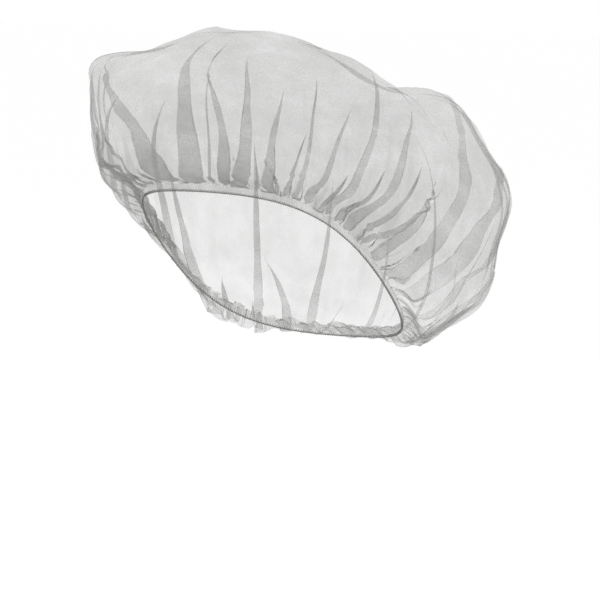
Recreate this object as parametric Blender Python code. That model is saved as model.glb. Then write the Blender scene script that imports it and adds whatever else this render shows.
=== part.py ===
"""Disposable hair cover cap: a puffed nonwoven bag gathered onto an elastic edge.

Metres, +Z up. The wearer faces -Y, so the wearer's left is +X. The origin is the middle of the
opening for the head. Turns are degrees around the opening: 0 at the forehead, 90 at the wearer's
left ear and 180 at the nape. A share runs along the cloth, 0 at the hem and 1 at the crown's middle.
"""

import bmesh
import bpy
import numpy as np

# The opening, measured level, and how its edge rises over the forehead and drops to the nape
OPENING_LONG = 0.166
OPENING_WIDE = 0.149
FOREHEAD_RISE = 0.048
NAPE_DROP = 0.048
TEMPLE_LIFT = 0.0055

# How far the cloth puffs out past the opening's edge, and how far the bag then reaches from the
# middle of the opening
FRONT_PUFF = 0.023
SIDE_PUFF = 0.0475
BACK_PUFF = 0.077
BAG_FRONT = OPENING_LONG / 2 + FRONT_PUFF
BAG_SIDE = OPENING_WIDE / 2 + SIDE_PUFF
BAG_BACK = OPENING_LONG / 2 + BACK_PUFF
BAG_TOP = 0.140

# The cloth, its hem, the elastic under the hem, and the gap between them
CLOTH_WALL = 0.0012
HEM_WALL = 0.0013
HEM_DEEP = 0.0032
ELASTIC_THICK = 0.0014
GAP = 0.0004

# The cloth stands up from the hem by this much before it puffs out
COLLAR_SHARE = 0.025
COLLAR_RISE = 0.0040
COLLAR_OUT = 0.0010

# Relief: how far the soft pushes, the big folds and the small gathers move the cloth
PUSH = 0.010
FOLD_HEIGHT = 0.0058
GATHER_HEIGHT = 0.0020
HEM_RIPPLE = 0.0003
GATHER_COUNT = 36

# Where the relief starts and ends, as shares of the cloth, and how a fold narrows along its length:
# its foot is pinched by the hem, it is widest past the pinch and its tip is a narrow point
GATHER_FULL_SHARE = 0.10
GATHER_END_SHARE = 0.30
FOLD_FULL_SHARE = 0.12
FOLD_PINCH_SHARE = 0.45
FOLD_PINCH_END_SHARE = 0.3
FOLD_TAPER_SHARE = 0.7

# Facets
FACETS_PER_GATHER = 4
FACETS_AROUND = GATHER_COUNT * FACETS_PER_GATHER
FACETS_UP = 16
CROWDING = 1.25
ELASTIC_FACETS = 96
ELASTIC_SIDES = 6

# The bag's meridians at the forehead, the ears and the nape, a row for each level of the cloth.
# Out is a share of the bag's reach on that side, up a share of the height from the edge to the top.
SECTIONS = (
    # share, front_out, front_up, side_out, side_up, back_out, back_up
    (0.05, 0.835, 0.045, 0.672, 0.030, 0.578, 0.010),
    (0.12, 0.896, 0.080, 0.770, 0.050, 0.684, -0.010),
    (0.22, 0.948, 0.217, 0.902, 0.157, 0.835, 0.040),
    (0.34, 0.976, 0.424, 0.984, 0.329, 0.950, 0.165),
    (0.46, 1.000, 0.630, 1.000, 0.514, 1.000, 0.362),
    (0.58, 0.953, 0.804, 0.918, 0.693, 0.932, 0.574),
    (0.70, 0.755, 0.913, 0.738, 0.821, 0.758, 0.723),
    (0.82, 0.490, 0.978, 0.484, 0.900, 0.509, 0.803),
    (0.92, 0.236, 1.000, 0.238, 0.964, 0.261, 0.915),
)

# Soft pushes that move the bag out and up, or in and down where negative, as shares of PUSH
PUSHES = (
    # turn, share, turn_wide, share_wide, out, up
    (-54, 0.62, 40, 0.12, 0.90, 0.30),
    (-74, 0.12, 30, 0.14, -0.50, 1.80),
    (74, 0.12, 34, 0.14, -0.30, 1.10),
    (124, 0.08, 24, 0.10, 0.00, -1.40),
    (-126, 0.08, 24, 0.10, 0.00, -1.20),
    (-20, 0.84, 50, 0.12, 0.00, 0.40),
    (128, 0.86, 40, 0.10, 0.00, -0.60),
    (128, 0.68, 35, 0.10, 0.40, 0.50),
    (150, 0.24, 30, 0.14, -0.70, 0.20),
    (-12, 0.70, 13, 0.06, 0.30, 0.50),
    (24, 0.74, 14, 0.07, -0.30, -0.45),
    (62, 0.70, 16, 0.07, 0.45, 0.40),
    (96, 0.60, 14, 0.10, -0.50, -0.30),
    (104, 0.82, 18, 0.06, 0.10, 0.45),
    (160, 0.62, 18, 0.09, 0.50, 0.30),
    (-172, 0.76, 20, 0.07, -0.30, -0.50),
    (-150, 0.46, 15, 0.10, 0.50, 0.10),
    (-128, 0.66, 18, 0.08, -0.50, -0.40),
    (-104, 0.50, 15, 0.09, 0.55, 0.10),
    (-92, 0.76, 18, 0.07, 0.20, 0.45),
    (-70, 0.44, 12, 0.08, -0.45, 0.00),
    (104, 0.81, 24, 0.07, -0.15, -1.25),
    (134, 0.61, 15, 0.09, -0.85, -0.85),
    (122, 0.72, 10, 0.05, -0.20, -0.30),
    (140, 0.39, 14, 0.06, -0.70, 0.00),
    (140, 0.23, 16, 0.07, 0.60, -0.15),
    (-44, 0.75, 16, 0.07, -0.35, -0.50),
    (-57, 0.35, 14, 0.07, -0.50, 0.00),
    (-57, 0.52, 12, 0.07, -0.35, 0.00),
    (-100, 0.13, 18, 0.12, -0.60, 0.50),
    (90, 0.71, 16, 0.06, -0.20, -0.60),
    (-20, 0.71, 14, 0.06, 0.00, -0.45),
    (-24, 0.90, 40, 0.06, 0.00, -0.25),
    (138, 0.14, 12, 0.06, -0.50, 0.15),
)

# The big folds, each from its foot at the hem to its tip at reach. Foot, tip and wide are degrees
# around the opening, and height is a share of FOLD_HEIGHT.
FOLDS = (
    # foot, tip, reach, wide, height
    (-12, -42, 0.62, 19, 0.85),
    (3, -1, 0.66, 10, 0.70),
    (14, 7, 0.70, 10, 0.75),
    (23, 28, 0.66, 12, 0.90),
    (34, 42, 0.58, 11, 0.80),
    (43, 48, 0.40, 8, 0.50),
    (52, 57, 0.50, 10, 0.75),
    (62, 72, 0.68, 10, 0.75),
    (75, 82, 0.60, 13, 0.90),
    (90, 91, 0.46, 12, 0.75),
    (103, 107, 0.58, 15, 1.20),
    (118, 121, 0.48, 18, 1.50),
    (133, 132, 0.36, 14, 0.80),
    (147, 144, 0.50, 16, 0.90),
    (163, 160, 0.38, 14, 0.70),
    (179, 180, 0.54, 17, 1.00),
    (-165, -162, 0.40, 14, 0.70),
    (-150, -145, 0.52, 16, 1.00),
    (-134, -129, 0.42, 14, 0.80),
    (-118, -111, 0.60, 16, 1.10),
    (-102, -98, 0.44, 13, 0.80),
    (-86, -87, 0.62, 15, 0.95),
    (-70, -77, 0.42, 12, 0.70),
    (-55, -66, 0.56, 14, 0.90),
    (-41, -55, 0.44, 12, 0.70),
    (-27, -44, 0.34, 11, 0.60),
)


def around(turn, front, side, back):
    """Blends smoothly from the value at the forehead over the one at the ears to the nape's."""
    c = np.cos(turn)
    return side + (front - back) / 2 * c + ((front + back) / 2 - side) * c * c


def edge_height(turn):
    """Height of the opening's edge, which stays high over the temple and dips behind the ear."""
    most = 2 / np.sqrt(27)
    temple = np.cos(turn) * np.sin(turn) ** 2 / most
    return around(turn, FOREHEAD_RISE, 0.0, -NAPE_DROP) + TEMPLE_LIFT * temple


def edge_reach(turn):
    """How far the opening's edge is from its middle, measured level."""
    return around(turn, OPENING_LONG / 2, OPENING_WIDE / 2, OPENING_LONG / 2)


def hem_foot():
    """Height of the hem's lower edge above the middle of the elastic."""
    return ELASTIC_THICK / 2 + GAP


def smooth_step(value, low, high):
    """0 up to low, 1 from high on, and smooth between."""
    f = np.clip((value - low) / (high - low), 0, 1)
    return f * f * (3 - 2 * f)


def levels(turn):
    """The bag's level rows at each turn: shares, and for each its level distance and height."""
    edge_out = edge_reach(turn)
    edge_up = edge_height(turn)
    seat = edge_up + hem_foot() + HEM_DEEP + GAP
    shares = [0.0, COLLAR_SHARE]
    rows = [(edge_out, seat), (edge_out + COLLAR_OUT, seat + COLLAR_RISE)]
    for share, front_out, front_up, side_out, side_up, back_out, back_up in SECTIONS:
        out = around(turn, front_out * BAG_FRONT, side_out * BAG_SIDE, back_out * BAG_BACK)
        rise = around(turn, front_up, side_up, back_up)
        shares.append(share)
        rows.append((out, edge_up + rise * (BAG_TOP - edge_up)))
    middle = np.zeros_like(turn)
    shares.append(1.0)
    rows.append((middle, middle + BAG_TOP))
    return np.array(shares), np.array(rows)


def curve_through(shares, rows, at):
    """A smooth curve through the rows, read at other shares."""
    slopes = np.gradient(rows, shares, axis=0)
    k = np.clip(np.searchsorted(shares, at, side="right") - 1, 0, len(shares) - 2)
    span = (shares[k + 1] - shares[k])[:, None, None]
    f = (at - shares[k])[:, None, None] / span
    g = 1 - f
    start = rows[k] * (1 + 2 * f) + slopes[k] * span * f
    end = rows[k + 1] * (3 - 2 * f) - slopes[k + 1] * span * g
    return start * g * g + end * f * f


def from_degrees(turn, middle):
    """How many degrees each turn lies past the middle, the short way round."""
    return (np.degrees(turn) - middle + 180) % 360 - 180


def soft_form(turn, share):
    """The bag without folds: a grid of points, shares down and turns across."""
    out, up = curve_through(*levels(turn), share).transpose(1, 0, 2)
    free = smooth_step(share, COLLAR_SHARE, 3 * COLLAR_SHARE)[:, None]
    for middle, level, turn_wide, share_wide, push_out, push_up in PUSHES:
        across = np.exp(-((from_degrees(turn, middle) / turn_wide) ** 2))
        along = np.exp(-(((share - level) / share_wide) ** 2))
        near = free * along[:, None] * across
        out = out + near * push_out * PUSH
        up = up + near * push_up * PUSH
    return np.stack((out * np.sin(turn), -out * np.cos(turn), up), axis=-1)


def outward(points):
    """Unit normals of a grid of points that closes around the opening."""
    across = np.roll(points, -1, axis=1) - np.roll(points, 1, axis=1)
    along = np.gradient(points, axis=0)
    normals = np.cross(across, along)
    normals[-1] = (0, 0, 1)
    return normals / np.linalg.norm(normals, axis=-1, keepdims=True)


def fold_relief(turn, share):
    """Height of the big folds: each is a ridge beside a groove, and narrows to a point."""
    relief = np.zeros((len(share), len(turn)))
    for foot, tip, reach, wide, height in FOLDS:
        along = np.clip(share / reach, 0, 1)
        middle = foot + (tip - foot) * along
        pinch = 1 - FOLD_PINCH_SHARE * (1 - smooth_step(along, 0, FOLD_PINCH_END_SHARE))
        half = wide / 2 * pinch * (1 - FOLD_TAPER_SHARE * along)
        rise = smooth_step(share, 0, FOLD_FULL_SHARE) * (1 - along**2)
        away = from_degrees(turn[None], middle[:, None]) / half[:, None]
        wave = np.sin(np.pi * away) * np.cos(np.pi / 2 * away) ** 2
        relief += np.where(abs(away) < 1, wave, 0) * (rise * height * FOLD_HEIGHT)[:, None]
    return relief


def gather_relief(turn, share):
    """Height of the small gathers, which the elastic draws in and which fade up the cloth."""
    swell = smooth_step(share, 0, GATHER_FULL_SHARE)
    fade = 1 - smooth_step(share, GATHER_FULL_SHARE, GATHER_END_SHARE)
    height = HEM_RIPPLE + (GATHER_HEIGHT - HEM_RIPPLE) * swell
    return (fade * height)[:, None] * np.sin(GATHER_COUNT * turn)


def bag_points():
    """The whole bag with its relief, as rings of points from the hem up to the crown's middle."""
    turn = np.arange(FACETS_AROUND) * 2 * np.pi / FACETS_AROUND
    free = (np.arange(1, FACETS_UP - 1) / (FACETS_UP - 2)) ** CROWDING
    above_collar = COLLAR_SHARE + free * (1 - COLLAR_SHARE)
    share = np.concatenate(((0, COLLAR_SHARE / 2, COLLAR_SHARE), above_collar))
    points = soft_form(turn, share)
    relief = fold_relief(turn, share) + gather_relief(turn, share)
    relief[-1] = 0
    return points + relief[..., None] * outward(points)


def new_piece(name, mesh, material):
    piece = bpy.data.objects.new(name, mesh)
    bpy.context.scene.collection.objects.link(piece)
    mesh.materials.append(material)
    mesh.shade_smooth()
    return piece


def principled(name, colour, roughness, alpha=1.0):
    material = bpy.data.materials.new(name)
    material.use_nodes = True
    shader = material.node_tree.nodes["Principled BSDF"]
    shader.inputs["Base Color"].default_value = (*colour, 1)
    shader.inputs["Metallic"].default_value = 0.0
    shader.inputs["Roughness"].default_value = roughness
    shader.inputs["Alpha"].default_value = alpha
    return material


def nonwoven_cloth():
    """Thin spunbond cloth, off-white and half see-through."""
    return principled("nonwoven cloth", (0.68, 0.68, 0.66), 0.9, 0.6)


def turned_cloth():
    """The same cloth doubled in the hem, where it lets less light through."""
    return principled("turned cloth", (0.52, 0.52, 0.50), 0.9, 0.9)


def covered_elastic():
    """Elastic bound in by the edge's stitches, the darkest line of the cap."""
    return principled("covered elastic", (0.36, 0.36, 0.34), 0.8)


def crown():
    """One sheet of cloth from the hem over the crown, given its wall."""
    grid = bag_points()
    model = bmesh.new()
    rings = [[model.verts.new(p) for p in ring] for ring in grid[:-1]]
    middle = model.verts.new(grid[-1].mean(axis=0))
    for lower, upper in zip(rings, rings[1:]):
        for i in range(FACETS_AROUND):
            k = (i + 1) % FACETS_AROUND
            model.faces.new((lower[i], lower[k], upper[k], upper[i]))
    for i, corner in enumerate(rings[-1]):
        model.faces.new((corner, rings[-1][(i + 1) % FACETS_AROUND], middle))
    mesh = bpy.data.meshes.new("crown")
    model.to_mesh(mesh)
    model.free()
    piece = new_piece("crown", mesh, nonwoven_cloth())
    wall = piece.modifiers.new("cloth wall", "SOLIDIFY")
    wall.thickness = CLOTH_WALL
    wall.offset = 0.0
    return piece


def edging(name, facets, section, ripple, material):
    """A closed ring that follows the opening's edge. Section lists its corners, out and up."""
    turn = np.arange(facets) * 2 * np.pi / facets
    wave = ripple * np.sin(GATHER_COUNT * turn)
    model = bmesh.new()
    rings = []
    for out, up in section:
        reach = edge_reach(turn) + out + wave
        places = np.stack((reach * np.sin(turn), -reach * np.cos(turn), edge_height(turn) + up), -1)
        rings.append([model.verts.new(p) for p in places])
    for ring, following in zip(rings, rings[1:] + rings[:1]):
        for i in range(facets):
            k = (i + 1) % facets
            model.faces.new((ring[i], following[i], following[k], ring[k]))
    bmesh.ops.recalc_face_normals(model, faces=model.faces)
    mesh = bpy.data.meshes.new(name)
    model.to_mesh(mesh)
    model.free()
    return new_piece(name, mesh, material)


def hem_band():
    """The cloth's edge, turned under and stitched down, all round the opening."""
    half = HEM_WALL / 2
    low = hem_foot()
    high = low + HEM_DEEP
    section = ((half, low), (half, high), (-half, high), (-half, low))
    return edging("hem_band", FACETS_AROUND, section, HEM_RIPPLE, turned_cloth())


def elastic_edge():
    """The elastic that the stitches bind in under the hem."""
    sides = np.arange(ELASTIC_SIDES) * 2 * np.pi / ELASTIC_SIDES
    section = [(ELASTIC_THICK / 2 * np.cos(a), ELASTIC_THICK / 2 * np.sin(a)) for a in sides]
    return edging("elastic_edge", ELASTIC_FACETS, section, 0.0, covered_elastic())


for old in list(bpy.data.objects):
    bpy.data.objects.remove(old)
crown()
hem_band()
elastic_edge()
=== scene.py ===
"""Disposable hair cover cap, dressed for its picture: a puffed bag of nonwoven on an elastic edge.

Metres, +Z up. The wearer faces -Y. A turn is an angle around the opening, 0 at the forehead, 90
degrees at the wearer's left ear and 180 at the nape. A share runs along the cloth, 0 at the hem and
1 at the crown.
"""

import bpy
import numpy as np
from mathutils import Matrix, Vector


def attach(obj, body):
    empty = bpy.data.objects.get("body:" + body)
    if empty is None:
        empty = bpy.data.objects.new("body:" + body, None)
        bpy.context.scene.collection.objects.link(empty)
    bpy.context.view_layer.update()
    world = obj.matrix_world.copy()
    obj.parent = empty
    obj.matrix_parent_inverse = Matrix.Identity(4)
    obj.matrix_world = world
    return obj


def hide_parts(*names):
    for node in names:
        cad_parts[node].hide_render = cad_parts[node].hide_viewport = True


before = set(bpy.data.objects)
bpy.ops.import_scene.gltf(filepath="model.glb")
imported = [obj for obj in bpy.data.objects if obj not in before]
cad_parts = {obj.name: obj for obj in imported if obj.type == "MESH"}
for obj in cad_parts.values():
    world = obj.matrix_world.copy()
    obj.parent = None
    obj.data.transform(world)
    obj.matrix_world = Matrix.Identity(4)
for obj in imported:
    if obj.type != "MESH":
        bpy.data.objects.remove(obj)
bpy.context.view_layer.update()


# Camera: a long lens, level with the cap and a little above it, on the wearer's left front side.
# The picture is square, 0.36 m wide at the cap, and the cap sits high and to the left in it.
CAMERA_TURN = np.radians(36)
CAMERA_RISE = np.radians(4)
CAMERA_AWAY = 4.0
PICTURE_WIDE = 0.36
SENSOR = 36.0
LOOK_RIGHT = 0.0164
LOOK_DOWN = 0.0210

towards = Vector((
    np.sin(CAMERA_TURN) * np.cos(CAMERA_RISE),
    -np.cos(CAMERA_TURN) * np.cos(CAMERA_RISE),
    np.sin(CAMERA_RISE),
))
right = Vector((np.cos(CAMERA_TURN), np.sin(CAMERA_TURN), 0.0))
target = right * LOOK_RIGHT - towards.cross(right) * LOOK_DOWN
camera_data = bpy.data.cameras.new("camera")
camera_data.sensor_width = SENSOR
camera_data.lens = SENSOR * CAMERA_AWAY / PICTURE_WIDE
camera = bpy.data.objects.new("camera", camera_data)
camera.location = target + towards * CAMERA_AWAY
camera.rotation_euler = towards.to_track_quat("Z", "Y").to_euler()
bpy.context.scene.collection.objects.link(camera)
bpy.context.scene.camera = camera


# Light: a white studio. The backdrop that the camera sees is brighter than the light on the cloth,
# so the thin cloth looks grey against it, as it does in front of a lit paper. A ray may pass through
# CLEAR_LAYERS layers of cloth.
BACKDROP_LIGHT = 1.0
ROOM_LIGHT = 0.41
CLEAR_LAYERS = 32

world = bpy.data.worlds.new("white studio")
world.use_nodes = True
world.node_tree.nodes.clear()
rays = world.node_tree.nodes.new("ShaderNodeLightPath")
room = world.node_tree.nodes.new("ShaderNodeBackground")
room.inputs["Strength"].default_value = ROOM_LIGHT
backdrop = world.node_tree.nodes.new("ShaderNodeBackground")
backdrop.inputs["Strength"].default_value = BACKDROP_LIGHT
for background in (room, backdrop):
    background.inputs["Color"].default_value = (1, 1, 1, 1)
choose = world.node_tree.nodes.new("ShaderNodeMixShader")
world_out = world.node_tree.nodes.new("ShaderNodeOutputWorld")
world.node_tree.links.new(rays.outputs["Is Camera Ray"], choose.inputs["Fac"])
world.node_tree.links.new(room.outputs[0], choose.inputs[1])
world.node_tree.links.new(backdrop.outputs[0], choose.inputs[2])
world.node_tree.links.new(choose.outputs[0], world_out.inputs[0])
bpy.context.scene.world = world
bpy.context.scene.view_settings.view_transform = "Standard"
bpy.context.scene.cycles.transparent_max_bounces = CLEAR_LAYERS

SOFT_LIGHTS = (
    # name, x, y, z, size, watts
    ("key", -0.9, -1.2, 1.2, 1.2, 4.0),
    ("fill", 1.5, -0.6, 0.5, 1.4, 1.2),
)
for name, x, y, z, size, watts in SOFT_LIGHTS:
    lamp_data = bpy.data.lights.new(name, "AREA")
    lamp_data.size = size
    lamp_data.energy = watts
    lamp = bpy.data.objects.new(name, lamp_data)
    lamp.location = (x, y, z)
    lamp.rotation_euler = Vector((x, y, z)).to_track_quat("Z", "Y").to_euler()
    bpy.context.scene.collection.objects.link(lamp)


# Floor: a plain pale sheet of studio paper, well under the cap, which is held up by its opening.
# Its glow stands for the studio's backlight, and it throws no light back onto the cap.
FLOOR_DOWN = -0.182
FLOOR_HALF = 9.0
FLOOR_GLOW = 0.62


def linear(hex_colour):
    """The linear red, green, blue and 1 of an sRGB colour given as six hex digits."""
    parts = [int(hex_colour[i:i + 2], 16) / 255 for i in (0, 2, 4)]
    return (*[((p + 0.055) / 1.055) ** 2.4 if p > 0.04045 else p / 12.92 for p in parts], 1.0)


def new_material(name):
    """An empty node material."""
    material = bpy.data.materials.new(name)
    material.use_nodes = True
    material.node_tree.nodes.clear()
    return material


def add_node(material, kind, sockets=None, **settings):
    """Adds a node: its settings, and for each socket a value or the output that feeds it."""
    tree = material.node_tree
    made = tree.nodes.new(kind)
    for key, value in settings.items():
        setattr(made, key, value)
    for key, value in (sockets or {}).items():
        if isinstance(value, bpy.types.NodeSocket):
            tree.links.new(value, made.inputs[key])
        else:
            made.inputs[key].default_value = value
    return made


paper = new_material("studio_paper")
paper_shader = add_node(paper, "ShaderNodeBsdfPrincipled", {
    "Base Color": linear("F4F4F4"),
    "Roughness": 0.9,
    "Emission Color": (1, 1, 1, 1),
    "Emission Strength": FLOOR_GLOW,
})
add_node(paper, "ShaderNodeOutputMaterial", {"Surface": paper_shader.outputs[0]})
floor_mesh = bpy.data.meshes.new("floor")
floor_corners = [
    (x * FLOOR_HALF, y * FLOOR_HALF, FLOOR_DOWN) for x, y in ((-1, -1), (1, -1), (1, 1), (-1, 1))]
floor_mesh.from_pydata(floor_corners, [], [(0, 1, 2, 3)])
floor_mesh.materials.append(paper)
floor = bpy.data.objects.new("floor", floor_mesh)
floor.visible_diffuse = False
floor.visible_transmission = False
floor.visible_shadow = False
bpy.context.scene.collection.objects.link(floor)


# Crown: one round of thin white spunbond nonwoven, 21 inches across, puffed out over the head.
# Its edge is drawn in by the elastic, so long folds lie flat over each other on the front and sides,
# and small gathers fade up from the hem. It is fixed in the hem all round.

# The opening as worn, the reach and height of the bag, and the hem and elastic that it stands on
OPENING_LONG = 0.166
OPENING_WIDE = 0.149
FOREHEAD_RISE = 0.048
NAPE_DROP = 0.048
TEMPLE_LIFT = 0.0055
BAG_FRONT = 0.106
BAG_SIDE = 0.122
BAG_BACK = 0.160
BAG_TOP = 0.140
HEM_DEEP = 0.0032
ELASTIC_THICK = 0.0014
GAP = 0.0004

# The cloth right above the hem: its share, and how far it has risen and come out by then
COLLAR_SHARE = 0.025
COLLAR_RISE = 0.0012
COLLAR_OUT = 0.0012

# The flat round, and the grid that stands for it, whose rows lie closer towards the hem
CLOTH_ROUND = 0.533
FLAT_MIDDLE = 0.5
CLOTH_COLUMNS = 1300
CLOTH_ROWS = 76
CROWDING = 1.35
SEED = 41
MM = 1000

# The bag without folds. Out is a share of its reach at the front, side or back, and up is a share of
# the way from the opening's edge to the top.
SECTIONS = (
    # share, front_out, front_up, side_out, side_up, back_out, back_up
    (0.05, 0.835, 0.078, 0.672, 0.048, 0.578, 0.024),
    (0.12, 0.896, 0.106, 0.770, 0.072, 0.684, -0.006),
    (0.22, 0.948, 0.217, 0.902, 0.157, 0.835, 0.040),
    (0.34, 0.976, 0.424, 0.984, 0.329, 0.950, 0.165),
    (0.46, 1.000, 0.630, 1.000, 0.514, 1.000, 0.362),
    (0.58, 0.953, 0.804, 0.918, 0.693, 0.932, 0.574),
    (0.70, 0.755, 0.913, 0.738, 0.821, 0.758, 0.723),
    (0.82, 0.490, 0.978, 0.484, 0.900, 0.509, 0.803),
    (0.92, 0.236, 1.000, 0.238, 0.964, 0.261, 0.915),
)

# Soft pushes and dents in it: how wide each is in degrees and in share, and how many PUSH it moves
PUSH = 0.010
PUSHES = (
    # turn, share, turn_wide, share_wide, out, up
    (-54, 0.62, 40, 0.12, 0.90, 0.30),
    (-74, 0.12, 30, 0.14, -0.50, 1.30),
    (74, 0.12, 34, 0.14, -0.30, 0.45),
    (124, 0.08, 24, 0.10, 0.00, -1.40),
    (-126, 0.08, 24, 0.10, 0.00, -1.20),
    (-20, 0.84, 50, 0.12, 0.00, 0.40),
    (128, 0.86, 40, 0.10, 0.00, -0.60),
    (128, 0.68, 35, 0.10, 0.40, 0.50),
    (150, 0.24, 30, 0.14, -0.70, 0.20),
    (-12, 0.70, 13, 0.06, 0.30, 0.50),
    (24, 0.74, 14, 0.07, -0.30, -0.45),
    (62, 0.70, 16, 0.07, 0.45, 0.40),
    (96, 0.60, 14, 0.10, -0.50, -0.30),
    (104, 0.82, 18, 0.06, 0.10, 0.45),
    (160, 0.62, 18, 0.09, 0.50, 0.30),
    (-172, 0.76, 20, 0.07, -0.30, -0.50),
    (-150, 0.46, 15, 0.10, 0.50, 0.10),
    (-128, 0.66, 18, 0.08, -0.50, -0.40),
    (-104, 0.50, 15, 0.09, 0.55, 0.10),
    (-92, 0.76, 18, 0.07, 0.20, 0.45),
    (-70, 0.44, 12, 0.08, -0.45, 0.00),
    (104, 0.81, 24, 0.07, -0.15, -1.25),
    (134, 0.61, 15, 0.09, -0.85, -0.85),
    (122, 0.72, 10, 0.05, -0.20, -0.30),
    (140, 0.39, 14, 0.06, -0.70, 0.00),
    (140, 0.23, 16, 0.07, 0.60, -0.15),
    (-44, 0.75, 16, 0.07, -0.35, -0.50),
    (-57, 0.35, 14, 0.07, -0.50, 0.00),
    (-57, 0.52, 12, 0.07, -0.35, 0.00),
    (-100, 0.13, 18, 0.12, -0.60, 0.50),
    (90, 0.71, 16, 0.06, -0.20, -0.60),
    (-20, 0.71, 14, 0.06, 0.00, -0.45),
    (-24, 0.90, 40, 0.06, 0.00, -0.25),
    (138, 0.14, 12, 0.06, -0.50, 0.15),
    (164, 0.10, 14, 0.05, 0.00, -0.50),
)

# The long flat folds. Foot, middle and tip are turns, reach is the share where the fold ends in a
# point, and foot_wide and middle_wide are the degrees that its three layers cover.
FOLDS = (
    # foot, middle, tip, reach, foot_wide, middle_wide
    (-8.5, -17.5, -48, 0.70, 13, 14),
    (4.8, 7.2, 4.5, 0.76, 8.4, 10),
    (11.5, 15, 12, 0.80, 1.8, 1.6),
    (16, 19.5, 9, 0.68, 5, 4.4),
    (22, 27.5, 27, 0.66, 7, 5.6),
    (30, 31, 30, 0.30, 2.2, 1.6),
    (34.5, 35.5, 40, 0.52, 6, 4.2),
    (41, 43, 47, 0.38, 2.0, 1.5),
    (45, 47.5, 51, 0.60, 2.0, 1.6),
    (50.5, 54, 61, 0.50, 3.6, 2.4),
    (55, 58, 61, 0.28, 1.6, 1.3),
    (60, 65.5, 74, 0.68, 3.2, 2.8),
    (64.5, 68.5, 73, 0.34, 1.6, 1.4),
    (70, 75, 84, 0.58, 4.0, 3.0),
    (75.5, 79, 84, 0.40, 1.8, 1.5),
    (80, 84, 91, 0.36, 2.6, 2.0),
    (88, 87.5, 91, 0.46, 5, 3.6),
    (99.5, 99, 122, 0.78, 4.6, 5.0),
    (106, 108.5, 128, 0.60, 3, 7.5),
    (114, 117, 129, 0.40, 2, 2.4),
    (122, 126, 136, 0.34, 2.4, 2.4),
    (131, 134, 134, 0.46, 2, 1.8),
    (139, 140, 143, 0.24, 2, 1.6),
    (147, 146, 144, 0.50, 3, 2.4),
    (155, 156, 158, 0.28, 2, 1.6),
    (163, 163, 167, 0.40, 3, 2.4),
    (167, 165, 161, 0.22, 2.4, 2.0),
    (175, 176, 179, 0.62, 4, 3.2),
    (-178, -179, -176, 0.30, 2.4, 2.0),
    (-170, -172, -170, 0.44, 5, 3.0),
    (-163, -161, -162, 0.24, 2, 1.6),
    (-156, -155, -158, 0.52, 4, 3.0),
    (-147, -148, -142, 0.34, 5, 3.6),
    (-138, -140, -139, 0.60, 3, 2.4),
    (-131, -129, -130, 0.26, 3, 2.0),
    (-122, -120, -117, 0.48, 5, 3.4),
    (-113, -114, -108, 0.64, 4, 3.0),
    (-105, -104, -101, 0.30, 3, 2.0),
    (-97, -95, -97, 0.42, 5, 3.6),
    (-87, -88, -91, 0.60, 4, 3.0),
    (-71, -74, -80, 0.50, 3.4, 2.6),
    (-53, -56, -62, 0.30, 2.4, 1.8),
    (-42, -46, -55, 0.40, 2.4, 1.8),
    (-33, -36, -44, 0.26, 2.0, 1.5),
    (-24, -28, -40, 0.34, 2.4, 1.8),
)

# Sharp single creases, each from one place to another, with their width and height in millimetres
CREASES = (
    # turn_a, share_a, turn_b, share_b, wide, height
    (13, 0.78, 21, 0.50, 1.6, 1.3),
    (61, 0.64, 58, 0.50, 1.6, 1.3),
    (-48, 0.40, -32, 0.37, 1.6, 1.1),
    (-8, 0.48, 8, 0.47, 1.6, 1.1),
    (-9, 0.65, 5, 0.62, 1.8, 1.3),
    (-20, 0.86, 10, 0.76, 3.0, 1.3),
    (48, 0.84, 60, 0.70, 2.6, 1.3),
    (107, 0.68, 97, 0.57, 1.8, 1.4),
    (98, 0.59, 92, 0.44, 1.8, 1.4),
    (113, 0.60, 97, 0.50, 1.8, 1.4),
    (99, 0.52, 89, 0.40, 1.8, 1.4),
    (126, 0.56, 116, 0.44, 2.0, 1.4),
    (140, 0.60, 126, 0.42, 2.6, 1.4),
    (170, 0.70, 156, 0.48, 2.6, 1.4),
    (-160, 0.74, -176, 0.50, 2.6, 1.4),
    (-130, 0.60, -142, 0.40, 2.4, 1.3),
    (-100, 0.72, -112, 0.54, 2.4, 1.4),
    (-78, 0.60, -90, 0.44, 2.4, 1.3),
)

# How sharp the sides of a crease are, and the farthest that it reaches from its line
CREASE_SHARP = 1.3
CREASE_NEAR = 0.02

# How the cloth of a fold is laid back over itself: shear moves it sideways as a share of half its
# width, and its three layers stay FOLD_LIFT apart. It reaches its middle width at FOLD_POINT of its
# way up and flattens from FOLD_FLATTENS on. LEAST_HALF is half its least width in degrees. It takes
# FOLD_COLUMNS of the grid's columns, which spread by FOLD_OPENS degrees beyond its tip. A strip
# between two folds counts as STRIP_MORE degrees wider than it is, so that each gets some columns,
# and the borders of the strips stay KNOT_APART degrees apart, and LAST_APART where the round closes.
FOLD_SHEAR = 1.7
FOLD_COVER = 0.78
FOLD_LIFT = 0.0016
FOLD_POINT = 0.30
FOLD_FLATTENS = 0.8
FOLD_OPENS = 2.5
FOLD_COLUMNS = 16
LEAST_HALF = 0.05
STRIP_MORE = 0.5
KNOT_APART = 1e-4
LAST_APART = 1e-3

# A fold sways by so many degrees and so many times, and its width changes by a share, so many times
FOLD_SWAY = 0.20
SWAY_TIMES = (2.0, 4.5)
FOLD_UNEVEN = 0.07
UNEVEN_TIMES = (3.0, 7.0)

# The hem holds the cloth: the shares by which it is free to move sideways, and to stand up
FREE_BY = 0.04
STAND_BY = 0.12

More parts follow.
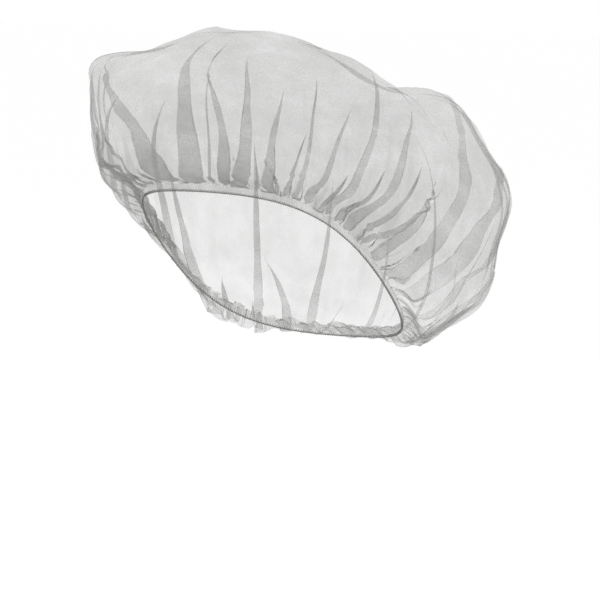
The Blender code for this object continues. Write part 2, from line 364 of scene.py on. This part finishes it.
# The small gathers: how many, the least and most of their width, reach and size, and how far each
# may lie from its even place and lean over. Most of them are short.
SMALL_GATHERS = 170
SMALL_WIDE = (1.0, 2.4)
SMALL_REACH = (0.06, 0.36)
SMALL_SIZE = (0.4, 1.0)
SMALL_SHORT = 1.8
SMALL_OFF = 0.4
SMALL_LEAN = 4
SMALL_BOW = 0.3
SMALL_TAPER = 0.8
SMALL_LIFT = 0.0010
SMALL_SHEAR = 1.6

# The finest ripples, which the hem's stitches press into the cloth
RIPPLES = 150
RIPPLE_STEPS = (0.6, 1.4)
RIPPLE_LIFT = 0.0005
RIPPLE_REACH = 0.08

# Soft unevenness of the puffed cloth: how many waves, how often each repeats around the bag and up
# it, its size, how much lower a finer one is, where they begin and how late they calm down
WAVES = 34
WAVE_ROUNDS = (2, 17)
WAVE_RISES = (2, 22)
WAVE_SIZE = (0.3, 1.0)
WAVE_LOWER = 0.06
WAVE_FROM = (0.06, 0.25)
WAVE_CALM = 6
WAVE_LIFT = 0.0011

# Soft flutes that run up from the hem between the folds: sharp crests, and the mean height of one,
# which comes off so that the bag keeps its size
FLUTES = 30
FLUTE_ROUNDS = (9, 30)
FLUTE_DRIFT = 2.0
FLUTE_SIZE = (0.4, 1.0)
FLUTE_SWELLS = (1, 6)
FLUTE_SHARP = 1.6
FLUTE_MEAN = 0.27
FLUTE_FADE = (0.25, 0.85)
FLUTE_LIFT = 0.0013

# Fine random creases: how many, the rows that they start in, and their length, width and height
FINE_CREASES = 90
FINE_ROWS = (CLOTH_ROWS // 5, CLOTH_ROWS - 8)
FINE_LONG = (0.012, 0.050)
FINE_WIDE = (1.2, 3.0)
FINE_HEIGHT = (0.3, 0.8)

# How dense the cloth looks, and how far its colour is darkened as painted shade. A place that slopes
# away from the soft bag is denser, up to a limit, as thin cloth seen at a slant is. At the front the
# gathers too fine to model add to it near the hem, evenly and in narrow stripes. Behind the ears the
# cloth near the hem is made less dense, and so are the folds about the left ear. FRONT_FROM and
# THIN_FROM are cosines of the turn, from where the front and the place about the ear begin to where
# they are full.
LEAST_FACING = 0.2
STEEP_LIMITS = (-0.5, 1)
TIGHT_PLACES = 480
TIGHT_EVEN = 0.16
TIGHT_DENSE = 0.40
TIGHT_REACH = 0.38
FRONT_FROM = (-0.4, 0.2)
THIN_BEHIND = 0.28
THIN_STACK = 0.13
THIN_TURN = np.radians(95)
THIN_FROM = (0.2, 0.7)


def around(turn, front, side, back):
    """Blends smoothly from the value at the forehead over the one at the ears to the nape's."""
    c = np.cos(turn)
    return side + (front - back) / 2 * c + ((front + back) / 2 - side) * c * c


def edge_height(turn):
    """Height of the opening's edge, which stays high over the temple and dips behind the ear."""
    # The square root makes this bump 1 high at its top
    temple = np.cos(turn) * np.sin(turn) ** 2 * np.sqrt(27) / 2
    return around(turn, FOREHEAD_RISE, 0.0, -NAPE_DROP) + TEMPLE_LIFT * temple


def edge_reach(turn):
    """How far the opening's edge is from its middle, measured level."""
    return around(turn, OPENING_LONG / 2, OPENING_WIDE / 2, OPENING_LONG / 2)


def smooth_step(value, low, high):
    """0 up to low, 1 from high on, and smooth between."""
    f = np.clip((value - low) / (high - low), 0, 1)
    return f * f * (3 - 2 * f)


def levels(turn):
    """The bag's level rows at each turn: shares, and for each its level distance and height."""
    edge_out = edge_reach(turn)
    edge_up = edge_height(turn)
    seat = edge_up + ELASTIC_THICK / 2 + GAP + HEM_DEEP + GAP
    shares = [0.0, COLLAR_SHARE]
    rows = [(edge_out, seat), (edge_out + COLLAR_OUT, seat + COLLAR_RISE)]
    for share, front_out, front_up, side_out, side_up, back_out, back_up in SECTIONS:
        out = around(turn, front_out * BAG_FRONT, side_out * BAG_SIDE, back_out * BAG_BACK)
        rise = around(turn, front_up, side_up, back_up)
        shares.append(share)
        rows.append((out, edge_up + rise * (BAG_TOP - edge_up)))
    middle = np.zeros_like(turn)
    shares.append(1.0)
    rows.append((middle, middle + BAG_TOP))
    return np.array(shares), np.array(rows)


def curve_through(shares, rows, at):
    """A smooth curve through the rows, read at other shares."""
    slopes = np.gradient(rows, shares, axis=0)
    k = np.clip(np.searchsorted(shares, at, side="right") - 1, 0, len(shares) - 2)
    span = (shares[k + 1] - shares[k])[:, None, None]
    f = (at - shares[k])[:, None, None] / span
    g = 1 - f
    start = rows[k] * (1 + 2 * f) + slopes[k] * span * f
    end = rows[k + 1] * (3 - 2 * f) - slopes[k + 1] * span * g
    return start * g * g + end * f * f


def from_degrees(turn, middle):
    """How many degrees each turn lies past the middle, the short way round."""
    return (np.degrees(turn) - middle + 180) % 360 - 180


def placed(turn, out, up):
    """Points at these turns, level distances from the middle and heights."""
    return np.stack((out * np.sin(turn), -out * np.cos(turn), up), axis=-1)


def soft_form(turn, share):
    """The bag without folds: a grid of points, shares down and turns across."""
    out, up = curve_through(*levels(turn), share).transpose(1, 0, 2)
    free = smooth_step(share, COLLAR_SHARE, 3 * COLLAR_SHARE)[:, None]
    for middle, level, turn_wide, share_wide, push_out, push_up in PUSHES:
        across = np.exp(-((from_degrees(turn, middle) / turn_wide) ** 2))
        along = np.exp(-(((share - level) / share_wide) ** 2))
        near = free * along[:, None] * across
        out = out + near * push_out * PUSH
        up = up + near * push_up * PUSH
    return placed(turn, out, up)


def unit(vectors):
    """The vectors, each made 1 long."""
    return vectors / np.linalg.norm(vectors, axis=-1, keepdims=True)


def outward(points):
    """Unit normals of a grid of points that closes around the opening."""
    across = np.roll(points, -1, axis=1) - np.roll(points, 1, axis=1)
    normals = np.cross(across, np.gradient(points, axis=0))
    normals[-1] = (0, 0, 1)
    return unit(normals)


def fold_line(share, foot, middle, tip, reach, widths):
    """A fold's centre and half its width in degrees at each share, and how far along it that is."""
    along = np.clip(share / reach, 0, 1)
    bow = 2 * middle - (foot + tip) / 2
    centre = foot * (1 - along) ** 2 + 2 * bow * along * (1 - along) + tip * along**2
    wide = np.interp(along, (0, FOLD_POINT, 1), widths)
    return centre, np.maximum(wide / 2 / FOLD_COVER, LEAST_HALF), along


def laid_fold(at, centre, half, along, shear):
    """One fold: how many degrees it moves the cloth sideways, and how high it stands, -1 to 1."""
    away = from_degrees(at, centre[:, None]) / half[:, None]
    wave = np.where(abs(away) < 1, np.sin(np.pi * away) * np.cos(np.pi / 2 * away) ** 2, 0)
    wave *= (along < 1)[:, None]
    flat = smooth_step(along, FOLD_FLATTENS, 1.0)[:, None]
    return -shear * half[:, None] * wave, -wave * (1 - flat)


def cloth_columns(share, folds):
    """The turn of each column at each share. The columns run along the folds, closest in them."""
    edges = []
    for centre, half, _, reach in sorted(folds, key=lambda fold: fold[0][0]):
        spread = half + FOLD_OPENS * smooth_step(share, reach, 1)
        edges += [centre - spread, centre + spread]
    knots = np.array(edges)
    knots += np.arange(len(knots))[:, None] * KNOT_APART
    knots = np.maximum.accumulate(knots, axis=0)
    knots = np.concatenate((knots, np.maximum(knots[:1] + 360, knots[-1:] + LAST_APART)))
    strips = np.diff(knots, axis=0)[1::2, : len(share) // 2].mean(axis=1) + STRIP_MORE
    counts = np.empty(len(knots) - 1)
    counts[0::2] = FOLD_COLUMNS
    counts[1::2] = (CLOTH_COLUMNS - FOLD_COLUMNS * len(folds)) * strips / strips.sum()
    places = np.concatenate(([0.0], np.cumsum(counts)))
    columns = np.arange(CLOTH_COLUMNS)
    return np.radians([np.interp(columns, places, row) for row in knots.T])


def sheet_faces(rows, columns, tube=False):
    """Quads of a grid that closes across its columns, and for a tube across its rows as well."""
    i = np.arange(rows if tube else rows - 1)[:, None] * columns
    above = (i + columns) % (rows * columns)
    j = np.arange(columns)
    k = (j + 1) % columns
    return np.stack((i + j, i + k, above + k, above + j), axis=-1).reshape(-1, 4)


def flat_places(radius, turn):
    """Where points of the cloth lie on its flat round, which is 1 across."""
    u = FLAT_MIDDLE + radius * np.sin(turn)
    v = FLAT_MIDDLE - radius * np.cos(turn)
    return np.stack((u, v), axis=-1).reshape(-1, 2)


def lay_flat(mesh, places):
    """Gives a mesh the flat cloth's coordinates, in which its fibres and clouds run."""
    layer = mesh.uv_layers.new(name="flat_cloth")
    corner_of = np.empty(len(mesh.loops), dtype=np.int32)
    mesh.loops.foreach_get("vertex_index", corner_of)
    layer.data.foreach_set("uv", places[corner_of].ravel())


# The lines of the long folds
rng = np.random.default_rng(SEED)
share = (np.arange(CLOTH_ROWS) / CLOTH_ROWS) ** CROWDING
folds = []
for foot, middle, tip, reach, foot_wide, middle_wide in FOLDS:
    widths = (foot_wide, middle_wide, 0.0)
    centre, half, along = fold_line(share, foot, middle, tip, reach, widths)
    sway = rng.uniform(*SWAY_TIMES) * share + rng.random()
    bulge = rng.uniform(*UNEVEN_TIMES) * share + rng.random()
    centre = centre + FOLD_SWAY * np.sin(2 * np.pi * sway) * smooth_step(along, 0, FOLD_POINT)
    half = half * (1 + FOLD_UNEVEN * np.sin(2 * np.pi * bulge))
    folds.append((centre, half, along, reach))
at = cloth_columns(share, folds)

# How far the long folds shift the cloth around the opening, in degrees, and lift it outwards
shift = np.zeros_like(at)
lift = np.zeros_like(at)
in_fold = np.zeros_like(at)
free = smooth_step(share, 0.0, FREE_BY)[:, None]
stand = smooth_step(share, 0.0, STAND_BY)[:, None]
for centre, half, along, _ in folds:
    side, up = laid_fold(at, centre, half, along, FOLD_SHEAR)
    shift += side * free
    lift += up * FOLD_LIFT * stand
    in_fold[side != 0] = 1

# The same for the small gathers
for i in range(SMALL_GATHERS):
    foot = -180 + 360 * (i + rng.uniform(-SMALL_OFF, SMALL_OFF)) / SMALL_GATHERS
    reach = SMALL_REACH[0] + (SMALL_REACH[1] - SMALL_REACH[0]) * rng.random() ** SMALL_SHORT
    wide = rng.uniform(*SMALL_WIDE)
    lean = rng.normal(0, SMALL_LEAN) * reach / SMALL_REACH[1]
    size = rng.uniform(*SMALL_SIZE)
    sign = rng.choice((-1, 1))
    low = share < reach
    widths = (wide, wide * SMALL_TAPER, 0.0)
    line = fold_line(share[low], foot, foot + lean * SMALL_BOW, foot + lean, reach, widths)
    side, up = laid_fold(at[low], *line, SMALL_SHEAR * size)
    shift[low] += side * free[low]
    lift[low] += up * SMALL_LIFT * size * stand[low] * sign

# How far the ripples at the hem lift it
phase = np.cumsum(rng.uniform(*RIPPLE_STEPS, CLOTH_COLUMNS))
phase *= RIPPLES * 2 * np.pi / phase[-1]
lift += np.sin(phase) * (1 - smooth_step(share, 0.0, RIPPLE_REACH))[:, None] * RIPPLE_LIFT

# The same for the soft waves
puff = smooth_step(share, *WAVE_FROM)[:, None]
for _ in range(WAVES):
    rounds = rng.integers(*WAVE_ROUNDS)
    rises = rng.uniform(*WAVE_RISES)
    start = rng.uniform(0, 2 * np.pi, 2)
    size = rng.uniform(*WAVE_SIZE) / (1 + WAVE_LOWER * (rounds + rises))
    wave = np.sin(rounds * at + start[0]) * np.sin(rises * share + start[1])[:, None]
    lift += wave * size * WAVE_LIFT * puff * (1 - share[:, None] ** WAVE_CALM)

# The same for the flutes
fade = (1 - smooth_step(share, *FLUTE_FADE))[:, None]
for _ in range(FLUTES):
    rounds = rng.integers(*FLUTE_ROUNDS)
    start = rng.uniform(0, 2 * np.pi, 2)
    drift = rng.normal(0, FLUTE_DRIFT) * share[:, None]
    size = rng.uniform(*FLUTE_SIZE)
    swell = size * np.sin(rng.uniform(*FLUTE_SWELLS) * share + start[1])[:, None]
    crest = (1 - abs(np.sin(rounds * at + start[0] + drift))) ** FLUTE_SHARP - FLUTE_MEAN
    lift += swell * crest * FLUTE_LIFT * free * fade

# The folded cloth, read from the bag's soft form at turns close together, past a full round each way
form_turns = np.radians(np.arange(-270, 630, 0.5))
form = soft_form(form_turns, share)
form_normals = np.cross(np.gradient(form, axis=1), np.gradient(form, axis=0))
form_normals[-1] = (0, 0, 1)
form_normals = unit(form_normals)
moved = at + np.radians(shift)
points = np.empty((*at.shape, 3))
normals = np.empty_like(points)
for row in range(CLOTH_ROWS):
    for k in range(3):
        normals[row, :, k] = np.interp(moved[row], form_turns, form_normals[row, :, k])
        points[row, :, k] = np.interp(moved[row], form_turns, form[row, :, k])
points += lift[..., None] * normals

# The creases, each a low ridge along a line
creases = []
for turn_a, share_a, turn_b, share_b, wide, height in CREASES:
    ends = soft_form(np.radians((turn_a, turn_b)), np.array((share_a, share_b)))
    creases.append((ends[0, 0], ends[1, 1] - ends[0, 0], wide, height))
for _ in range(FINE_CREASES):
    row, column = rng.integers(*FINE_ROWS), rng.integers(CLOTH_COLUMNS)
    heading = unit(np.cross(rng.normal(size=3), normals[row, column]))
    line = heading * rng.uniform(*FINE_LONG)
    creases.append((points[row, column], line, rng.uniform(*FINE_WIDE), rng.uniform(*FINE_HEIGHT)))
for start, line, wide, height in creases:
    part = np.clip(((points - start) @ line) / (line @ line), 0, 1)
    apart = abs((np.cross(points - start, unit(line)) * normals).sum(axis=-1)) / (wide / MM)
    near = np.linalg.norm(points - start - part[..., None] * line, axis=-1) < CREASE_NEAR
    ridge = np.where(near, np.exp(-(apart**CREASE_SHARP)) * np.sin(np.pi * part), 0)
    points += (ridge * height / MM)[..., None] * normals

# How dense each place looks; the same value darkens the cloth's colour as painted shade
facing = abs((outward(points) * normals).sum(axis=-1))
density_and_shade = (1 / np.maximum(facing, LEAST_FACING) - 1) / 2
tight_turns = np.linspace(0, 2 * np.pi, TIGHT_PLACES)
tight = np.interp(at % (2 * np.pi), tight_turns, rng.random(TIGHT_PLACES))
front = smooth_step(np.cos(at), *FRONT_FROM)
near_hem = (1 - smooth_step(share, 0.0, TIGHT_REACH))[:, None]
density_and_shade += near_hem * (front * (TIGHT_EVEN + TIGHT_DENSE * tight**2) - (1 - front) * THIN_BEHIND)
density_and_shade -= THIN_STACK * in_fold * smooth_step(np.cos(at - THIN_TURN), *THIN_FROM)
density_and_shade = np.clip(density_and_shade, *STEEP_LIMITS)

# The mesh, closed at the crown by a fan of small triangles
corners = np.concatenate((points.reshape(-1, 3), [points[-1].mean(axis=0)]))
quads = sheet_faces(CLOTH_ROWS, CLOTH_COLUMNS).tolist()
last = (CLOTH_ROWS - 1) * CLOTH_COLUMNS
fan = [
    (last + j, last + (j + 1) % CLOTH_COLUMNS, len(corners) - 1) for j in range(CLOTH_COLUMNS)]
crown_mesh = bpy.data.meshes.new("crown_cloth")
crown_mesh.from_pydata(corners.tolist(), [], quads + fan)
crown_flat = flat_places((1 - share[:, None]) / 2, at)
lay_flat(crown_mesh, np.concatenate((crown_flat, [(FLAT_MIDDLE, FLAT_MIDDLE)])))
density_and_shade_layer = crown_mesh.attributes.new("density_and_shade", "FLOAT", "POINT")
density_and_shade_layer.data.foreach_set("value", np.append(density_and_shade.ravel(), 0.0))
crown_mesh.shade_smooth()


def nonwoven(name, colours, cover, uneven, dents):
    """Spunbond cloth: matt fibres that scatter light through, with thin and dense clouds.

    The colours are those of thin places, dense places and bent edges; the last is painted shade,
    mixed in where the mesh's density and shade value is high. Cover is the share of the light
    behind that the cloth stops, uneven is how much that varies, and dents is how strongly the
    fibres dent it.
    """
    cloth = new_material(name)
    place = add_node(cloth, "ShaderNodeUVMap", uv_map="flat_cloth").outputs[0]
    metres = add_node(cloth, "ShaderNodeVectorMath", {
        0: place, 1: (CLOTH_ROUND,) * 3}, operation="MULTIPLY").outputs[0]
    # Uneven laying of the fibres, in clouds 8 to 20 mm across
    clouds = add_node(cloth, "ShaderNodeTexNoise", {
        "Vector": metres, "Scale": 65.0, "Detail": 4.0, "Roughness": 0.62}).outputs["Fac"]
    # Thick and thin places of the cloth, about 40 mm across
    patches = add_node(cloth, "ShaderNodeTexNoise", {
        "Vector": metres, "Scale": 24.0, "Detail": 2.0, "Distortion": 0.8}).outputs["Fac"]
    # Bonded specks about 1 mm apart
    specks = add_node(cloth, "ShaderNodeTexNoise", {
        "Vector": metres, "Scale": 850.0, "Detail": 2.0, "Roughness": 0.7}).outputs["Fac"]
    # Fibres, laid in two directions. Real ones are 0.02 mm thick. These are bundles of them, about
    # 0.4 mm wide and 6 mm long, which is as coarse as they need to be to show.
    streaks = []
    for angle in (0.45, -0.8):
        laid = add_node(cloth, "ShaderNodeMapping", {
            "Vector": metres, "Rotation": (0, 0, angle), "Scale": (2200.0, 160.0, 1.0)})
        streaks.append(add_node(cloth, "ShaderNodeTexNoise", {
            "Vector": laid.outputs[0], "Scale": 1.0, "Detail": 1.0, "Distortion": 0.6}))
    fibres = add_node(cloth, "ShaderNodeMath", {
        0: streaks[0].outputs["Fac"], 1: streaks[1].outputs["Fac"]}, operation="MAXIMUM").outputs[0]
    # The mesh's density value, which thickens the cloth and also mixes in painted shade
    density_and_shade_factor = add_node(cloth, "ShaderNodeAttribute", attribute_name="density_and_shade").outputs["Fac"]
    # Cover: half of how steep the place is, and what each pattern adds between two of its values
    stop = add_node(cloth, "ShaderNodeMath", {0: density_and_shade_factor, 1: 0.5}, operation="MULTIPLY")
    for pattern, low, high, least, most in (
        (clouds, 0.3, 0.7, cover - uneven, cover + uneven),
        (specks, 0.3, 0.7, -0.18 * uneven, 0.18 * uneven),
        (patches, 0.32, 0.68, -0.75 * uneven, 0.75 * uneven),
        (fibres, 0.45, 0.75, -0.15 * uneven, 0.45 * uneven),
    ):
        part = add_node(cloth, "ShaderNodeMapRange", {
            "Value": pattern, "From Min": low, "From Max": high, "To Min": least, "To Max": most})
        stop = add_node(cloth, "ShaderNodeMath", {
            0: stop.outputs[0], 1: part.outputs[0]}, operation="ADD")
    stop.use_clamp = True
    # Colour: the dense places a little lighter, and painted shade darkening bent edges, slopes and
    # front gathers
    tint = add_node(cloth, "ShaderNodeValToRGB", {"Fac": clouds})
    for end, position, colour in zip(tint.color_ramp.elements, (0.3, 0.7), colours):
        end.position = position
        end.color = linear(colour)
    shade = add_node(cloth, "ShaderNodeMix", {
        0: density_and_shade_factor, 6: tint.outputs[0], 7: linear(colours[2])}, data_type="RGBA", blend_type="MIX")
    bump = add_node(cloth, "ShaderNodeBump", {
        "Height": fibres, "Strength": dents, "Distance": 0.0001})
    matt = add_node(cloth, "ShaderNodeBsdfPrincipled", {
        "Base Color": shade.outputs[2], "Normal": bump.outputs[0], "Roughness": 0.85,
        "Specular IOR Level": 0.25, "Sheen Weight": 0.15, "Sheen Roughness": 0.5})
    through = add_node(cloth, "ShaderNodeBsdfTranslucent", {
        "Color": shade.outputs[2], "Normal": bump.outputs[0]})
    # Half of the light that meets fibres is scattered back, and half of it through
    fibre_light = add_node(cloth, "ShaderNodeMixShader", {
        0: 0.5, 1: matt.outputs[0], 2: through.outputs[0]})
    open_air = add_node(cloth, "ShaderNodeBsdfTransparent", {"Color": (1, 1, 1, 1)})
    both = add_node(cloth, "ShaderNodeMixShader", {
        0: stop.outputs[0], 1: open_air.outputs[0], 2: fibre_light.outputs[0]})
    add_node(cloth, "ShaderNodeOutputMaterial", {"Surface": both.outputs[0]})
    return cloth


crown_mesh.materials.append(
    nonwoven("spunbond", ("DEDEDC", "ECECEA", "D4D4D1"), cover=0.28, uneven=0.07, dents=0.35))
crown_cloth = bpy.data.objects.new("crown_cloth", crown_mesh)
bpy.context.scene.collection.objects.link(crown_cloth)
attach(crown_cloth, "root")
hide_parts("crown")


# Hem band: the edge of the same cloth, turned under and stitched down over the elastic, about 3 mm
# deep and drawn into tight little gathers, so it looks denser than the bag above it.

# It is HEM_THICK across and nearly square, and laps HEM_LAP over the elastic and over the bag. It
# ripples in and out by HEM_LIFT, more at the top than at the elastic, in two finenesses that are
# times as many as the bag's ripples. HEM_EVEN is the part of it that is the same all over. It wavers
# up and down by HEM_WAVER. HEM_SHARE is how much of the flat cloth it takes.
HEM_COLUMNS = 1500
HEM_SIDES = 10
HEM_THICK = 0.0017
HEM_SQUARE = 0.6
HEM_LAP = 0.0008
HEM_LIFT = 0.0005
HEM_EVEN = 0.6
HEM_WAVER = 0.0002
HEM_SHARE = 0.01
HEM_STEPS = (0.5, 1.5)
HEM_RIPPLES = (
    # times, start, part
    (1.0, 0.0, 0.7),
    (2.1, 1.0, 0.3),
)


def full_round(count):
    """So many angles, evenly spaced over a full round."""
    return np.arange(count) * 2 * np.pi / count


edge_rng = np.random.default_rng(SEED + 1)
hem_turn = full_round(HEM_COLUMNS)
hem_phase = np.cumsum(edge_rng.uniform(*HEM_STEPS, HEM_COLUMNS))
hem_phase *= 2 * np.pi / hem_phase[-1]
hem_ripple = sum(
    part * np.sin(times * RIPPLES * hem_phase + start) for times, start, part in HEM_RIPPLES)
hem_side = full_round(HEM_SIDES)[:, None]
hem_across = HEM_THICK / 2 * np.sign(np.cos(hem_side)) * abs(np.cos(hem_side)) ** HEM_SQUARE
hem_out = hem_across + hem_ripple * HEM_LIFT * (HEM_EVEN + (1 - HEM_EVEN) * np.sin(hem_side))
hem_up = ELASTIC_THICK / 2 + HEM_DEEP / 2 + (HEM_DEEP / 2 + HEM_LAP) * np.sin(hem_side)
hem_up = hem_up + HEM_WAVER * np.sin(RIPPLES / 2 * hem_phase + hem_side)
hem_points = placed(hem_turn, edge_reach(hem_turn) + hem_out, edge_height(hem_turn) + hem_up)
hem_mesh = bpy.data.meshes.new("hem_cloth")
hem_faces = sheet_faces(HEM_SIDES, HEM_COLUMNS, tube=True)
hem_mesh.from_pydata(hem_points.reshape(-1, 3).tolist(), [], hem_faces.tolist())
hem_radius = FLAT_MIDDLE - HEM_SHARE * np.arange(HEM_SIDES)[:, None] / HEM_SIDES
lay_flat(hem_mesh, flat_places(hem_radius, hem_turn))
hem_mesh.shade_smooth()
hem_mesh.materials.append(
    nonwoven("turned_spunbond", ("ECECEA", "F6F6F4", "E0E0DD"), cover=0.24, uneven=0.08, dents=0.6))
hem_cloth = bpy.data.objects.new("hem_cloth", hem_mesh)
bpy.context.scene.collection.objects.link(hem_cloth)
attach(hem_cloth, "root")
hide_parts("hem_band")


# Elastic edge: a thin white elastic at the very edge, bound in by overlock thread. The thread winds
# round it every millimetre and a half, which gives the edge its fine serrated line. Both are
# coloured mid grey, painted shade that draws the white edge as a fine dark line.

# The thread lies THREAD_OFF off the elastic, is wound more or less loosely, with a new value each
# LOOSE_EVERY steps, and reaches THREAD_STITCH farther up, into the hem.
THREAD_TURNS = 350
THREAD_STEPS = 10
THREAD_SIDES = 4
THREAD_THICK = 0.00032
THREAD_OFF = 0.0001
THREAD_STITCH = 0.0006
LOOSE_EVERY = 5
LOOSE = (0.85, 1.5)
CORE_THICK = 0.0006
CORE_COLUMNS = 360
CORE_SIDES = 8

# The elastic itself
core_turn = full_round(CORE_COLUMNS)
core_side = full_round(CORE_SIDES)[:, None]
core_out = edge_reach(core_turn) + CORE_THICK / 2 * np.cos(core_side)
core_up = edge_height(core_turn) + CORE_THICK / 2 * np.sin(core_side)
core_points = placed(core_turn, core_out, core_up).reshape(-1, 3)

# The thread winds round it, now tighter and now looser, and each turn reaches up into the hem
thread_count = THREAD_TURNS * THREAD_STEPS
thread_turn = full_round(thread_count)
wind = thread_turn * THREAD_TURNS
loose_at = np.arange(0, thread_count + LOOSE_EVERY, LOOSE_EVERY)
loose = edge_rng.uniform(*LOOSE, len(loose_at))
wound = (CORE_THICK / 2 + THREAD_OFF) * np.interp(np.arange(thread_count), loose_at, loose)
thread_out = edge_reach(thread_turn) + wound * np.cos(wind)
thread_up = wound * np.sin(wind) + THREAD_STITCH * np.maximum(np.sin(wind), 0)
thread = placed(thread_turn, thread_out, edge_height(thread_turn) + thread_up)
run = unit(np.roll(thread, -1, axis=0) - np.roll(thread, 1, axis=0))
first = unit(np.cross(run, (0.0, 0.0, 1.0)))
second = np.cross(run, first)
thread_side = full_round(THREAD_SIDES)[:, None, None]
thread_ring = np.cos(thread_side) * first + np.sin(thread_side) * second
thread_points = (thread + THREAD_THICK / 2 * thread_ring).reshape(-1, 3)

edge_mesh = bpy.data.meshes.new("bound_elastic")
edge_points = np.concatenate((core_points, thread_points))
edge_faces = np.concatenate((
    sheet_faces(CORE_SIDES, CORE_COLUMNS, tube=True),
    sheet_faces(THREAD_SIDES, thread_count, tube=True) + len(core_points),
))
edge_mesh.from_pydata(edge_points.tolist(), [], edge_faces.tolist())
edge_mesh.shade_smooth()

# Rubber in a covering of fine thread, so it is matt and a little uneven, about 1 mm apart, and
# coloured mid grey as painted shade on the white elastic
rubber = new_material("covered_elastic")
rubber_place = add_node(rubber, "ShaderNodeTexCoord").outputs["Object"]
rubber_grain = add_node(rubber, "ShaderNodeTexNoise", {
    "Vector": rubber_place, "Scale": 900.0, "Detail": 3.0}).outputs["Fac"]
rubber_grain_and_painted_shade = add_node(rubber, "ShaderNodeValToRGB", {"Fac": rubber_grain})
# Grey grain: the grain is real, the greyness of both ends is painted shade
for end, position, colour in zip(
        rubber_grain_and_painted_shade.color_ramp.elements, (0.35, 0.7), ("9E9B96", "C8C5C0")):
    end.position = position
    end.color = linear(colour)
rubber_bump = add_node(rubber, "ShaderNodeBump", {
    "Height": rubber_grain, "Strength": 0.4, "Distance": 0.0001})
rubber_shader = add_node(rubber, "ShaderNodeBsdfPrincipled", {
    "Base Color": rubber_grain_and_painted_shade.outputs[0], "Normal": rubber_bump.outputs[0], "Roughness": 0.75})
add_node(rubber, "ShaderNodeOutputMaterial", {"Surface": rubber_shader.outputs[0]})
edge_mesh.materials.append(rubber)
bound_elastic = bpy.data.objects.new("bound_elastic", edge_mesh)
bpy.context.scene.collection.objects.link(bound_elastic)
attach(bound_elastic, "root")
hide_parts("elastic_edge")
